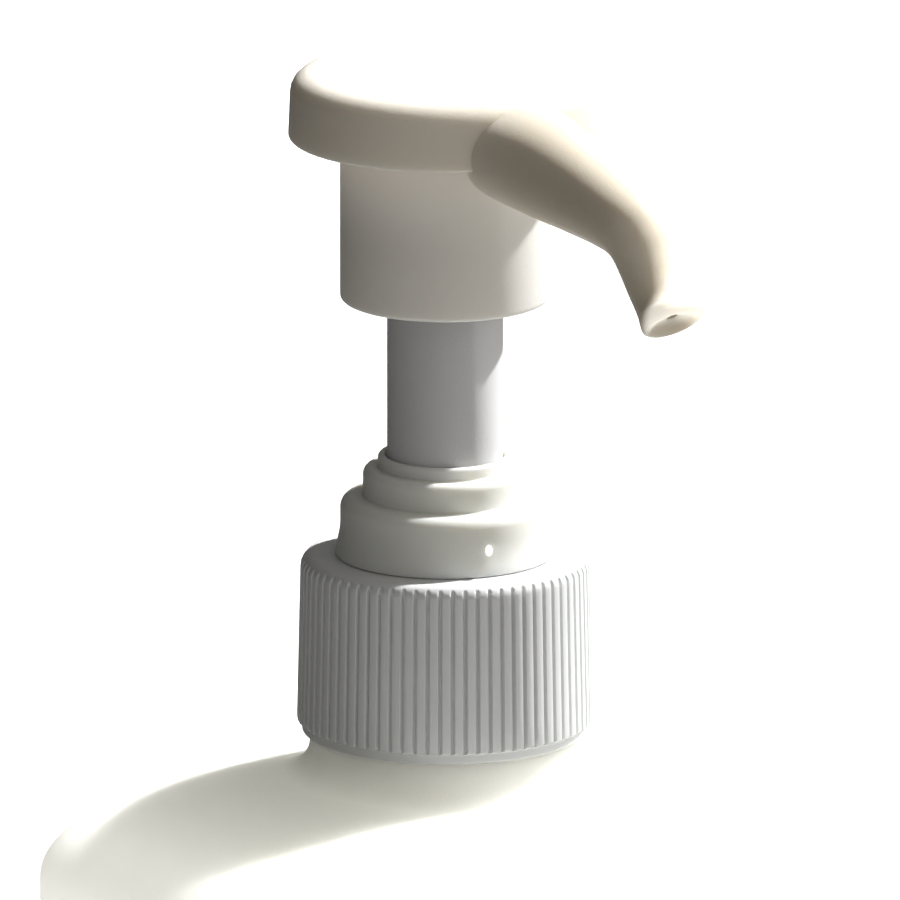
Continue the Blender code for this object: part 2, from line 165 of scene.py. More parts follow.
# The spout's sections: reach from the axis, drop below the head's top, half-width, half-height and
# how steeply the section faces down, in degrees
SPOUT = (
    (14.6, 7.8, 3.6, 3.4, 3.0), (15.6, 7.8, 6.2, 5.2, 3.0), (17.4, 7.8, 8.1, 6.6, 4.0),
    (20.5, 7.9, 8.9, 7.2, 5.0), (28.6, 8.9, 7.6, 7.1, 9.0), (37.5, 10.3, 6.4, 6.2, 11.0),
    (44.3, 11.5, 5.8, 5.5, 16.0), (48.9, 12.8, 5.3, 5.1, 29.0), (51.1, 14.9, 4.7, 4.5, 45.0),
    (52.6, 17.6, 4.15, 4.05, 53.0), (54.2, 20.2, 3.85, 3.8, 52.0), (55.7, 21.9, 3.8, 3.75, 51.0),
    (57.1, 22.75, 4.1, 4.1, 50.0), (58.2, 23.1, 4.55, 4.55, 50.0), (59.1, 23.95, 4.75, 4.75, 50.0),
)

# Camera and light: turns are in degrees from the front, the sun's from the camera
VIEW_TURN = -33.0
VIEW_RISE = 14.3
VIEW_DISTANCE = 5000.0
VIEW_WIDTH = 128.6        # what the picture's width takes in at the object
VIEW_HEIGHT = 41.1        # of the picture's middle above the closure's lower edge
VIEW_SHIFT = 0.7
SUN_TURN = 120.5
SUN_RISE = 46.5
SUN_STRENGTH = 7.5
SUN_SPREAD = 2.5
SIDE_DIM = 0.015
SIDE_BRIGHT = 0.58
SIDE_START = -0.75
BOUNCE = 0.32


# --- Mesh building ---

def link_rings(bm, ring, following):
    """Faces between two closed rings, whose point counts are equal or one a multiple of the other."""
    if len(ring) > len(following):
        ring, following = following, ring
    count = len(ring)
    if count == 1:
        for index, vert in enumerate(following):
            bm.faces.new((ring[0], vert, following[(index + 1) % len(following)]))
        return
    ratio = len(following) // count
    for index in range(count):
        here = ring[index]
        there = ring[(index + 1) % count]
        fan = [following[(index * ratio + step) % len(following)] for step in range(ratio + 1)]
        for left, right in zip(fan[:-2], fan[1:-1]):
            bm.faces.new((here, left, right))
        bm.faces.new((here, fan[-2], fan[-1], there))


def shade(item, sharp_angle=40.0):
    item.data.shade_smooth()
    item.data.set_sharp_from_angle(angle=radians(sharp_angle))


def lofted(name, rings, closed):
    """A solid through rings of points; an open one ends in single points or flat caps."""
    bm = bmesh.new()
    made = [[bm.verts.new(Vector(point) * MM) for point in ring] for ring in rings]
    for ring, following in zip(made, made[1:]):
        link_rings(bm, ring, following)
    if closed:
        link_rings(bm, made[-1], made[0])
    else:
        for ring in (made[0], made[-1]):
            if len(ring) > 1:
                bm.faces.new(ring)
    bmesh.ops.recalc_face_normals(bm, faces=bm.faces)
    mesh = bpy.data.meshes.new(name)
    bm.to_mesh(mesh)
    bm.free()
    item = bpy.data.objects.new(name, mesh)
    bpy.context.scene.collection.objects.link(item)
    shade(item)
    return item


def circle(radius, height, count=FINE):
    if radius == 0.0:
        return [(0.0, 0.0, height)]
    return [(radius * cos(tau * i / count), radius * sin(tau * i / count), height) for i in range(count)]


def rounded(corners, closed=True, steps=5):
    """Outline points from (radius, height, fillet) corners; a corner with no third value stays sharp."""
    points = []
    count = len(corners)
    for index, corner in enumerate(corners):
        here = Vector(corner[:2])
        fillet = corner[2] if len(corner) > 2 else 0.0
        at_end = not closed and index in (0, count - 1)
        if fillet == 0.0 or at_end:
            points.append(tuple(here))
            continue
        back = Vector(corners[index - 1][:2]) - here
        ahead = Vector(corners[(index + 1) % count][:2]) - here
        half = back.angle(ahead) / 2
        reach = min(fillet / tan(half), 0.49 * back.length, 0.49 * ahead.length)
        start = here + back.normalized() * reach
        end = here + ahead.normalized() * reach
        centre = here + (back.normalized() + ahead.normalized()).normalized() * (reach / cos(half))
        radius = (start - centre).length
        for i in range(steps + 1):
            spoke = (start - centre).lerp(end - centre, i / steps)
            points.append(tuple(centre + spoke.normalized() * radius))
    return points


def turned(name, corners, closed=True, count=FINE):
    """A turned solid, with its heights measured from the closure's lower edge."""
    rings = [circle(radius, SEAT + height, count) for radius, height in rounded(corners, closed)]
    return lofted(name, rings, closed)


def combine(item, tool, operation):
    """Apply a Boolean to item and drop the tool."""
    modifier = item.modifiers.new(operation.lower(), "BOOLEAN")
    modifier.operation = operation
    modifier.solver = "EXACT"
    modifier.object = tool
    graph = bpy.context.evaluated_depsgraph_get()
    result = bpy.data.meshes.new_from_object(item.evaluated_get(graph))
    item.modifiers.clear()
    item.data = result
    shade(item)
    bpy.data.objects.remove(tool, do_unlink=True)


def rod(name, start, end, radius, count=40):
    axis = Vector(end) - Vector(start)
    place = Matrix.Translation(Vector(start)) @ axis.to_track_quat("Z", "Y").to_matrix().to_4x4()
    rings = [[tuple(place @ Vector(point)) for point in circle(radius, height, count)]
             for height in (0.0, axis.length)]
    return lofted(name, rings, False)


def smooth_rows(rows, steps):
    """Catmull-Rom curve through rows of numbers, steps spans between each pair."""
    padded = [rows[0], *rows, rows[-1]]
    out = []
    for a, b, c, d in zip(padded, padded[1:], padded[2:], padded[3:]):
        for i in range(steps):
            t = i / steps
            out.append(tuple(0.5 * (2 * q + (r - p) * t + (2 * p - 5 * q + 4 * r - s) * t * t
                                    + (3 * q - p - 3 * r + s) * t ** 3)
                             for p, q, r, s in zip(a, b, c, d)))
    out.append(tuple(rows[-1]))
    return out


# --- Bottle ---

def oval_reach(angle, half_width, half_depth, squareness):
    """Distance from the axis to a superellipse, in a direction."""
    along = abs(cos(angle)) / half_width
    across = abs(sin(angle)) / half_depth
    return (along ** squareness + across ** squareness) ** (-1.0 / squareness)


def body_ring(inset, height, share=1.0):
    """A level ring of the body's wall, or of its base where share is less than 1."""
    ring = []
    for x, y, z in circle(1.0, height):
        angle = atan2(y, x)
        reach = share * oval_reach(angle, HALF_WIDTH - inset, HALF_DEPTH - inset, BODY_SQUARENESS)
        ring.append((reach * cos(angle), reach * sin(angle), z))
    return ring


def shoulder_ring(inset, part):
    """A ring of the shoulder: part runs from 0 at the body's wall to 1 at the neck's foot."""
    ring = []
    for x, y, _ in circle(1.0, 0.0):
        angle = atan2(y, x)
        edge = oval_reach(angle, HALF_WIDTH - inset, HALF_DEPTH - inset, BODY_SQUARENESS)
        crown = oval_reach(angle, CROWN_HALF_WIDTH, CROWN_HALF_DEPTH, 2.0)
        foot = (NECK_FOOT_R - inset - crown) / (edge - crown)
        spread = cos(part * acos(foot))
        reach = crown + (edge - crown) * spread
        drop = (SHOULDER_DROP - inset) * (1.0 - sqrt(1.0 - spread * spread))
        ring.append((reach * cos(angle), reach * sin(angle), SEAT + SHOULDER_Z - inset - drop))
    return ring


def neck_foot(shoulder, top_r, top_z, steps=8):
    """Rings that sweep from the shoulder's last ring up into the upright neck."""
    rings = []
    for i in range(1, steps + 1):
        angle = pi / 2 * i / steps
        ring = []
        for x, y, z in shoulder:
            turn = atan2(y, x)
            reach = sqrt(x * x + y * y)
            r = reach - (reach - top_r) * sin(angle)
            ring.append((r * cos(turn), r * sin(turn), z + (SEAT + top_z - z) * (1.0 - cos(angle))))
        rings.append(ring)
    return rings


def bottle_skin(inset):
    """The bottle's rings from its base's rim up to the foot of its neck, moved in by inset."""
    rings = []
    bend = BASE_ROUND - inset
    for i in range(9):
        angle = pi / 2 * i / 8
        rings.append(body_ring(inset + bend * (1.0 - sin(angle)), inset + bend * (1.0 - cos(angle))))
    low = BASE_ROUND
    high = SEAT + SHOULDER_Z - SHOULDER_DROP
    rings += [body_ring(inset, low + (high - low) * i / 12) for i in range(1, 12)]
    rings += [shoulder_ring(inset, i / 20) for i in range(21)]
    return rings


def thread_height(angle, height, start):
    """Height of a thread ridge's surface over its root, at a turn angle and height."""
    best = 0.0
    for lap in range(2):
        along = angle + tau * lap
        if along > THREAD_TURNS * tau:
            continue
        fade = min(1.0, along / 0.35, (THREAD_TURNS * tau - along) / 0.35)
        offset = abs(height - start - PITCH * along / tau)
        best = max(best, THREAD_DEPTH * fade * max(0.0, min(1.0, (1.05 - offset) / 0.55)))
    return best


def thread_rings(root, direction, low, high, start, count=FINE, steps=44):
    """Rings of an upright wall that carries the thread: direction is 1 outward or -1 inward."""
    rings = []
    for i in range(steps + 1):
        height = low + (high - low) * i / steps
        ring = []
        for k in range(count):
            angle = tau * k / count
            r = root + direction * thread_height(angle, height, start)
            ring.append((r * cos(angle), r * sin(angle), SEAT + height))
        rings.append(ring)
    return rings


def base_rings():
    """The base: a flat standing rim round a shallow push-up."""
    rings = [[(0.0, 0.0, PUSH_UP)]]
    for share in (0.15, 0.35, 0.55, 0.66, 0.72, 0.76):
        rise = PUSH_UP * 0.5 * (1.0 + cos(pi * share / 0.76))
        rings.append(body_ring(0.0, rise, share))
    return rings


def floor_rings():
    """The inside of the base, over the push-up, from the wall inwards."""
    rings = []
    for share in (0.78, 0.66, 0.5, 0.35, 0.15):
        rise = PUSH_UP * 0.5 * (1.0 + cos(pi * share / 0.78))
        rings.append(body_ring(WALL, WALL + rise, share))
    return rings + [[(0.0, 0.0, WALL + PUSH_UP)]]


def make_bottle():
    outer = bottle_skin(0.0)
    inner = bottle_skin(WALL)
    outer += neck_foot(outer[-1], NECK_BASE_R, -1.6)
    inner += neck_foot(inner[-1], NECK_BORE_R, -2.0)
    rim = [circle(r, SEAT + z) for r, z in rounded(
        [(NECK_BASE_R, -1.6), (NECK_BASE_R, -0.4, 0.4), (NECK_R, -0.4, 0.3), (NECK_R, 8.6)], False)]
    rim += thread_rings(NECK_R, 1.0, 8.7, 18.2, THREAD_START)
    rim += [circle(r, SEAT + z) for r, z in rounded(
        [(NECK_R, 18.4), (NECK_R, NECK_TOP, 0.4), (NECK_BORE_R, NECK_TOP, 0.4), (NECK_BORE_R, 0.0)], False)]
    rings = base_rings() + outer + rim + inner[::-1] + floor_rings()
    return lofted("bottle_shell", rings, False)


# --- Closure ---

def ribbed_ring(radius, height, depth):
    """A ring of broad ribs with narrow round-bottomed grooves between them."""
    ring = []
    for rib in range(RIB_COUNT):
        for part, sink in RIB_GROOVE:
            r = radius - depth * sink
            angle = tau * (rib + part) / RIB_COUNT
            ring.append((r * cos(angle), r * sin(angle), SEAT + height))
    return ring


def make_closure():
    lip = rounded([(CLOSURE_INNER_R, 0.0, 0.2), (LIP_R, 0.0, 0.35), (LIP_R, LIP_TOP - 0.25, 0.2),
                   (RIB_R_LOW, LIP_TOP)], False, 4)[:-1]
    rings = [circle(r, SEAT + z) for r, z in lip]
    shoulder_z = CLOSURE_TOP - SHOULDER_ROUND
    rings.append(ribbed_ring(RIB_R_LOW - 0.25, LIP_TOP, RIB_DEPTH * 0.5))
    rings.append(ribbed_ring(RIB_R_LOW - 0.05, LIP_TOP + 0.1, RIB_DEPTH * 0.9))
    rings.append(ribbed_ring(RIB_R_LOW, LIP_TOP + 0.35, RIB_DEPTH))
    for i in range(1, 7):
        part = i / 6
        height = LIP_TOP + 0.35 + (shoulder_z - LIP_TOP - 0.35) * part
        rings.append(ribbed_ring(RIB_R_LOW + (RIB_R_HIGH - RIB_R_LOW) * part, height, RIB_DEPTH))
    for i in range(1, 9):
        angle = radians(8.0 * i)
        r = RIB_R_HIGH - SHOULDER_ROUND * (1.0 - cos(angle))
        fade = max(0.0, 1.0 - i / 6.0)
        rings.append(ribbed_ring(r, shoulder_z + SHOULDER_ROUND * sin(angle), RIB_DEPTH * fade))
    centre_r = RIB_R_HIGH - SHOULDER_ROUND
    top = [(centre_r + SHOULDER_ROUND * cos(radians(a)), shoulder_z + SHOULDER_ROUND * sin(radians(a)))
           for a in (72.0, 81.0, 90.0)]
    top += rounded([(centre_r, CLOSURE_TOP), (CLOSURE_HOLE_R, CLOSURE_TOP, 0.3),
                    (CLOSURE_HOLE_R, CLOSURE_TOP - PLATE, 0.2),
                    (CLOSURE_INNER_R, CLOSURE_TOP - PLATE, 0.6), (CLOSURE_INNER_R, 18.0)], False)[1:]
    rings += [circle(r, SEAT + z) for r, z in top]
    rings += thread_rings(CLOSURE_INNER_R, -1.0, 6.2, 16.6, THREAD_START - PITCH / 2)[::-1]
    return lofted("closure_shell", rings, True)


# --- Collar, stem, skirt and head ---

def make_collar():
    foot = COLLAR_FOOT_R - TIER_LOW_R
    corners = [(COLLAR_FOOT_R, COLLAR_LOW, 0.2)]
    corners += [(TIER_LOW_R + foot * (1.0 - i / 8) ** 2, COLLAR_LOW + 0.5 + 4.7 * i / 8)
                for i in range(1, 8)]
    corners += [
        (TIER_LOW_R, TIER_LOW_TOP, 3.3), (TIER_MIDDLE_R, TIER_LOW_TOP + 0.15, 0.25),
        (TIER_MIDDLE_R, TIER_MIDDLE_TOP, 1.7), (TIER_TOP_R, TIER_MIDDLE_TOP + 0.05, 0.2),
        (TIER_TOP_R, COLLAR_HIGH, 1.0), (STEM_R + GAP, COLLAR_HIGH, 0.2),
        (STEM_R + GAP, COLLAR_HIGH - 4.7, 0.5), (COLLAR_BORE_R, COLLAR_HIGH - 6.7, 0.5),
        (COLLAR_BORE_R, COLLAR_INNER_LOW, 0.3), (BORE_R - GAP, COLLAR_INNER_LOW, 0.3),
        (BORE_R - GAP, HOUSING_TOP + 0.6, 0.2), (HOUSING_R + GAP, HOUSING_TOP + 0.6, 0.2),
        (HOUSING_R + GAP, COLLAR_LOW, 0.2)]
    return turned("collar_shell", corners)


def make_pip():
    """A small domed pip, taller than it is wide, that stands out of the collar's side."""
    outward = view_direction(-PIP_TURN, 0.0)
    side = Vector((-outward.y, outward.x, 0.0))
    centre = outward * PIP_R_OUT + Vector((0.0, 0.0, SEAT + PIP_Z))
    rings = []
    steps = 10
    for i in range(steps + 1):
        polar = pi * i / steps
        middle = centre - outward * PIP_HALF_DEPTH * cos(polar)
        if i in (0, steps):
            rings.append([tuple(middle)])
            continue
        rings.append([tuple(middle + side * PIP_HALF_WIDTH * sin(polar) * cos(a)
                            + Vector((0.0, 0.0, PIP_HALF_HEIGHT * sin(polar) * sin(a))))
                      for a in (tau * k / 24 for k in range(24))])
    return lofted("collar_pip", rings, False)


def make_stem():
    return turned("stem_tube", [(STEM_BORE_R, STEM_LOW, 0.2), (STEM_R, STEM_LOW, 0.2),
                                (STEM_R, STEM_HIGH, 0.4), (STEM_BORE_R, STEM_HIGH, 0.2)])


def make_sleeve():
    inner = SLEEVE_R - SLEEVE_WALL
    sleeve = turned("skirt_shell", [(inner, SLEEVE_LOW, 0.4), (SLEEVE_R, SLEEVE_LOW, 0.7),
                                    (SLEEVE_R, SLEEVE_HIGH, 0.3), (inner, SLEEVE_HIGH, 0.3)])
    height = SEAT + HEAD_TOP - PASSAGE_DROP
    notch = rod("notch", (0.0, -10.0, height), (0.0, -20.0, height), INLET_R + 2 * GAP)
    combine(sleeve, notch, "DIFFERENCE")
    return sleeve


def spout_rings(rows, count=64):
    """Oval rings along the spout, each facing forward along -Y and down by its own angle."""
    rings = []
    for reach, drop, half_width, half_height, tilt in rows:
        centre = Vector((0.0, -reach, SEAT + HEAD_TOP - drop))
        slope = radians(tilt)
        up = Vector((0.0, -sin(slope), cos(slope)))
        side = Vector((1.0, 0.0, 0.0))
        rings.append([tuple(centre + side * half_width * cos(a) + up * half_height * sin(a))
                      for a in (tau * k / count for k in range(count))])
    return rings


def move_along(row, distance, radius):
    """The section a distance further along its own facing direction, round and of another size."""
    reach, drop, _, _, tilt = row
    slope = radians(tilt)
    return (reach + distance * cos(slope), drop + distance * sin(slope), radius, radius, tilt)


def make_head():
    top = HEAD_TOP
    corners = [
        (0.0, top), (DRUM_TOP_R, top, DRUM_ROUND), (DRUM_R, DRUM_LOW, 0.5), (DRUM_R - 2.0, DRUM_LOW, 0.4),
        (DRUM_R - 2.2, top - TOP_WALL, 0.8), (SOCKET_R, top - TOP_WALL, 0.6),
        (SOCKET_R, SOCKET_LOW, 0.4), (STEM_R + GAP, SOCKET_LOW, 0.3), (STEM_R + GAP, STEM_HIGH + GAP),
        (STEM_BORE_R, STEM_HIGH + GAP), (STEM_BORE_R, top - CHAMBER_DROP, 0.5), (0.0, top - CHAMBER_DROP)]
    head = turned("head_shell", corners, closed=False, count=192)
    rows = smooth_rows(SPOUT, 6)
    end = SPOUT[-1]
    for angle in (15.0, 30.0, 45.0, 60.0, 75.0, 90.0):
        bend = radians(angle)
        rows.append(move_along(end, RIM_ROUND * sin(bend), end[2] - RIM_ROUND * (1.0 - cos(bend))))
    spout = lofted("spout", spout_rings(rows), False)
    clearance = turned("clearance", [(0.0, 60.0), (SLEEVE_R + GAP, 60.0), (SLEEVE_R + GAP, top - 2.0),
                                     (0.0, top - 2.0)], closed=False)
    combine(spout, clearance, "DIFFERENCE")
    combine(head, spout, "UNION")
    height = SEAT + top - PASSAGE_DROP
    combine(head, rod("inlet", (0.0, -9.0, height), (0.0, -17.0, height), INLET_R), "UNION")
    passage = [(0.0, PASSAGE_DROP, PASSAGE_R, PASSAGE_R, 0.0)]
    passage += [(reach, drop, PASSAGE_R, PASSAGE_R, tilt) for reach, drop, _, _, tilt in SPOUT[3:-3]]
    passage.append(move_along(end, -1.4, PASSAGE_R))
    passage.append(move_along(end, -0.3, PASSAGE_R - 1.4))
    passage.append(move_along(end, 0.2, MOUTH_R - 0.8))
    passage.append(move_along(end, 0.5, MOUTH_R))
    passage.append(move_along(end, 0.8, MOUTH_R + 0.4))
    passage.append(move_along(end, 1.2, MOUTH_R + 1.0))
    combine(head, lofted("passage", spout_rings(smooth_rows(passage, 4), 40), False), "DIFFERENCE")
    return head


# --- Inner pieces ---

def make_gasket():
    low = NECK_TOP + GAP
    high = FLANGE_LOW - GAP
    return turned("gasket_ring", [(HOUSING_R + 0.5, low, 0.2), (NECK_R + 0.8, low, 0.3),
                                  (NECK_R + 0.8, high, 0.3), (HOUSING_R + 0.5, high, 0.2)])


def make_housing():
    corners = [
        (BORE_R, HOUSING_TOP, 0.2), (BORE_R, BORE_END, 0.4), (CAGE_SEAT_R, BORE_END, 0.3),
        (CAGE_SEAT_R, BORE_END - 8.0, 0.3), (SEAT_EDGE_R, BORE_END - 11.5), (SEAT_EDGE_R, BORE_END - 13.5),
        (TUBE_R + GAP, BORE_END - 13.5), (TUBE_R + GAP, SOCKET_END, 0.2), (5.9, SOCKET_END, 0.4),
        (5.9, BORE_END - 14.5, 1.0), (8.6, BORE_END - 10.5, 1.0), (8.6, BORE_END - 2.0, 0.6),
        (HOUSING_R, BORE_END - 2.0, 1.2), (HOUSING_R, FLANGE_LOW, 0.3), (FLANGE_R, FLANGE_LOW, 0.2),
        (FLANGE_R, FLANGE_HIGH, 0.2), (HOUSING_R, FLANGE_HIGH, 0.3), (HOUSING_R, HOUSING_TOP, 0.2)]
    housing = turned("housing_shell", corners)
    height = SEAT + 10.0
    combine(housing, rod("vent", (-20.0, 0.0, height), (20.0, 0.0, height), 0.8, 20), "DIFFERENCE")
    return housing


def make_dip_tube():
    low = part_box("dip_tube")[0].z / MM - SEAT
    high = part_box("dip_tube")[1].z / MM - SEAT
    return turned("dip_tube_pipe", [(TUBE_BORE_R, low, 0.2), (TUBE_R, low, 0.2), (TUBE_R, high, 0.2),
                                    (TUBE_BORE_R, high, 0.2)], count=64)


def make_piston_core():
    return turned("piston_core_plug", [
        (3.0, -4.0, 0.3), (7.0, -4.0, 0.5), (7.0, 0.2, 0.3), (11.0, 0.2, 0.3), (11.0, 2.7, 0.3),
        (6.0, 2.7, 0.2), (6.0, 8.2, 0.3), (5.0, 8.2), (3.0, 6.2)])


def make_piston_seal():
    inner = STEM_R + GAP
    outer = BORE_R - GAP
    return turned("piston_seal_cup", [
        (inner, 3.0, 0.2), (10.0, 3.0, 0.1), (10.4, 5.0, 0.3), (outer - 0.2, 3.0, 0.1), (outer, 4.0, 0.4),
        (outer - 0.6, 6.2, 1.0), (outer - 0.6, 9.6, 1.0), (outer, 12.0, 0.4), (outer - 0.2, 13.0, 0.1),
        (10.4, 10.6, 0.3), (10.0, 13.0, 0.1), (inner, 13.0, 0.2)])


def make_ball(name, node):
    low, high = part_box(node)
    centre = (low.z + high.z) / 2 / MM
    radius = (high.z - low.z) / 2 / MM
    steps = 24
    rings = [circle(radius * sin(pi * i / steps), centre - radius * cos(pi * i / steps), 48)
             for i in range(1, steps)]
    rings = [[(0.0, 0.0, centre - radius)]] + rings + [[(0.0, 0.0, centre + radius)]]
    return lofted(name, rings, False)


def make_cage(name, node, outer, inner):
    low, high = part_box(node)
    low_z = low.z / MM - SEAT
    high_z = high.z / MM - SEAT
    cage = turned(name, [(inner, low_z, 0.2), (outer, low_z, 0.3), (outer, high_z, 0.3),
                         (inner, high_z, 0.2)])
    reach = (outer + inner) / 2
    middle = SEAT + high_z - 0.9
    combine(cage, rod("bar", (-reach, 0.0, middle), (reach, 0.0, middle), 0.7, 20), "UNION")
    combine(cage, rod("bar", (0.0, -reach, middle), (0.0, reach, middle), 0.7, 20), "UNION")
    return cage


def make_spring():
    """A coil whose end turns lie flat."""
    low = BORE_END + GAP + SPRING_WIRE_R
    high = 0.2 - GAP - SPRING_WIRE_R
    flat = 2.4 * SPRING_WIRE_R
    steps = SPRING_TURNS * 40
    rings = []
    for i in range(steps + 1):
        turns = SPRING_TURNS * i / steps
        if turns < 1.0:
            height = low + flat * turns
        elif turns > SPRING_TURNS - 1.0:
            height = high - flat * (SPRING_TURNS - turns)
        else:
            height = low + flat + (high - low - 2 * flat) * (turns - 1.0) / (SPRING_TURNS - 2.0)
        angle = turns * tau
        ring = []
        for k in range(12):
            around = tau * k / 12
            r = SPRING_R + SPRING_WIRE_R * cos(around)
            ring.append((r * cos(angle), r * sin(angle), SEAT + height + SPRING_WIRE_R * sin(around)))
        rings.append(ring)
    return lofted("return_spring_coil", rings, False)


# --- Materials ---

def noise(tree, coordinate, scale, detail=3.0, stretch=None):
    """A noise texture in object space, stretched along the axis where asked."""
    source = coordinate.outputs["Object"]
    if stretch is not None:
        mapping = tree.nodes.new("ShaderNodeMapping")
        mapping.inputs["Scale"].default_value = stretch
        tree.links.new(source, mapping.inputs["Vector"])
        source = mapping.outputs["Vector"]
    texture = tree.nodes.new("ShaderNodeTexNoise")
    texture.inputs["Scale"].default_value = scale
    texture.inputs["Detail"].default_value = detail
    tree.links.new(source, texture.inputs["Vector"])
    return texture.outputs["Fac"]


def spread(tree, value, low, high):
    """Map a noise value's usual range to low..high."""
    node = tree.nodes.new("ShaderNodeMapRange")
    node.inputs["From Min"].default_value = 0.3
    node.inputs["From Max"].default_value = 0.7
    node.inputs["To Min"].default_value = low
    node.inputs["To Max"].default_value = high
    tree.links.new(value, node.inputs["Value"])
    return node.outputs["Result"]


def moulded(name, colour, deep, roughness, glow=0.0, glow_mm=2.0, grain=0.02, flow=None,
            reach=(1.0, 0.92, 0.8)):
    """Moulded plastic: a slow drift between two near colours, a fine satin grain and faint flow waves."""
    material = bpy.data.materials.new(name)
    material.use_nodes = True
    tree = material.node_tree
    shader = tree.nodes["Principled BSDF"]
    coordinate = tree.nodes.new("ShaderNodeTexCoord")
    mix = tree.nodes.new("ShaderNodeMix")
    mix.data_type = "RGBA"
    mix.inputs[6].default_value = (*colour, 1.0)
    mix.inputs[7].default_value = (*deep, 1.0)
    drift = noise(tree, coordinate, DRIFT_SCALE, 4.0, flow)
    tree.links.new(spread(tree, drift, 0.0, 1.0), mix.inputs[0])
    tree.links.new(mix.outputs[2], shader.inputs["Base Color"])
    fine = noise(tree, coordinate, GRAIN_SCALE, 2.0)
    tree.links.new(spread(tree, noise(tree, coordinate, GLOSS_SCALE), roughness - 0.05, roughness + 0.06),
                   shader.inputs["Roughness"])
    waves = noise(tree, coordinate, FLOW_SCALE, 2.0, flow)
    waves_bump = tree.nodes.new("ShaderNodeBump")
    waves_bump.inputs["Strength"].default_value = 0.12
    waves_bump.inputs["Distance"].default_value = 0.0004
    tree.links.new(waves, waves_bump.inputs["Height"])
    bump = tree.nodes.new("ShaderNodeBump")
    bump.inputs["Strength"].default_value = 1.0
    bump.inputs["Distance"].default_value = grain * MM
    tree.links.new(fine, bump.inputs["Height"])
    tree.links.new(waves_bump.outputs["Normal"], bump.inputs["Normal"])
    tree.links.new(bump.outputs["Normal"], shader.inputs["Normal"])
    shader.inputs["Subsurface Weight"].default_value = glow
    shader.inputs["Subsurface Radius"].default_value = reach
    shader.inputs["Subsurface Scale"].default_value = glow_mm * MM
    return material


def paint_warm_shade_towards_spout(material, colour):
    """Painted shade: the colour turns deeper and warmer towards the spout, standing in for the warm, deep
    shade on the spout.
    """
    tree = material.node_tree
    shader = tree.nodes["Principled BSDF"]
    plain = shader.inputs["Base Color"].links[0].from_socket
    coordinate = tree.nodes.new("ShaderNodeTexCoord")
    parts = tree.nodes.new("ShaderNodeSeparateXYZ")
    tree.links.new(coordinate.outputs["Object"], parts.inputs["Vector"])
    reach = tree.nodes.new("ShaderNodeMapRange")
    reach.inputs["From Min"].default_value = -SLEEVE_R * MM
    reach.inputs["From Max"].default_value = -(DRUM_R + 6.0) * MM
    tree.links.new(parts.outputs["Y"], reach.inputs["Value"])
    mix = tree.nodes.new("ShaderNodeMix")
    mix.data_type = "RGBA"
    mix.blend_type = "MULTIPLY"
    tree.links.new(reach.outputs["Result"], mix.inputs[0])
    tree.links.new(plain, mix.inputs[6])
    mix.inputs[7].default_value = (*colour, 1.0)
    tree.links.new(mix.outputs[2], shader.inputs["Base Color"])


def paint_glow_along(material, axis, stops, colour, strength):
    """Painted light: a faint glow, as emission, that varies along an axis of the piece, from (place, share)
    stops in order.
    """
    tree = material.node_tree
    shader = tree.nodes["Principled BSDF"]
    coordinate = tree.nodes.new("ShaderNodeTexCoord")
    parts = tree.nodes.new("ShaderNodeSeparateXYZ")
    tree.links.new(coordinate.outputs["Object"], parts.inputs["Vector"])
    start = stops[0][0]
    end = stops[-1][0]
    span = tree.nodes.new("ShaderNodeMapRange")
    span.inputs["From Min"].default_value = start * MM
    span.inputs["From Max"].default_value = end * MM
    tree.links.new(parts.outputs[axis], span.inputs["Value"])
    ramp = tree.nodes.new("ShaderNodeValToRGB")
    ramp.color_ramp.interpolation = "EASE"
    for place, _ in stops[1:-1]:
        ramp.color_ramp.elements.new((place - start) / (end - start))
    for element, (_, share) in zip(ramp.color_ramp.elements, stops):
        element.color = (*(channel * share for channel in colour), 1.0)
    tree.links.new(span.outputs["Result"], ramp.inputs["Fac"])
    tree.links.new(ramp.outputs["Color"], shader.inputs["Emission Color"])
    shader.inputs["Emission Strength"].default_value = strength


def glass_ball():
    material = moulded("check_ball_glass", (0.80, 0.88, 0.86), (0.72, 0.82, 0.80), 0.08, grain=0.002)
    shader = material.node_tree.nodes["Principled BSDF"]
    shader.inputs["Transmission Weight"].default_value = 0.8
    return material


def spring_wire():
    material = moulded("spring_wire_steel", (0.62, 0.62, 0.60), (0.50, 0.50, 0.50), 0.26, grain=0.004,
                       flow=(1.0, 1.0, 8.0))
    material.node_tree.nodes["Principled BSDF"].inputs["Metallic"].default_value = 1.0
    return material


def paint_glow_from_within(material, colour, strength):
    """Painted light: an even glow over the piece, as emission, like the daylight that comes through the
    wall from behind.
    """
    shader = material.node_tree.nodes["Principled BSDF"]
    shader.inputs["Emission Color"].default_value = (*colour, 1.0)
    shader.inputs["Emission Strength"].default_value = strength


# --- Stage ---

def make_floor():
    """A wide pale floor that the object stands on."""
    side = 12000.0
    mesh = bpy.data.meshes.new("floor")
    corners = [(-side, -side, 0.0), (side, -side, 0.0), (side, side, 0.0), (-side, side, 0.0)]
    mesh.from_pydata([Vector(corner) * MM for corner in corners], [], [(0, 1, 2, 3)])
    item = bpy.data.objects.new("floor", mesh)
    bpy.context.scene.collection.objects.link(item)
    material = bpy.data.materials.new("floor_pale")
    material.use_nodes = True
    shader = material.node_tree.nodes["Principled BSDF"]
    shader.inputs["Base Color"].default_value = (0.92, 0.92, 0.91, 1.0)
    shader.inputs["Roughness"].default_value = 0.9
    shader.inputs["Specular IOR Level"].default_value = 0.1
    item.data.materials.append(material)
    item.visible_diffuse = False
    item.visible_glossy = False
    item.visible_transmission = False


def view_direction(turn, rise):
    """Unit vector from the object towards a place that is turned and raised from the front."""
    a = radians(turn)
    e = radians(rise)
    return Vector((sin(a) * cos(e), -cos(a) * cos(e), sin(e)))


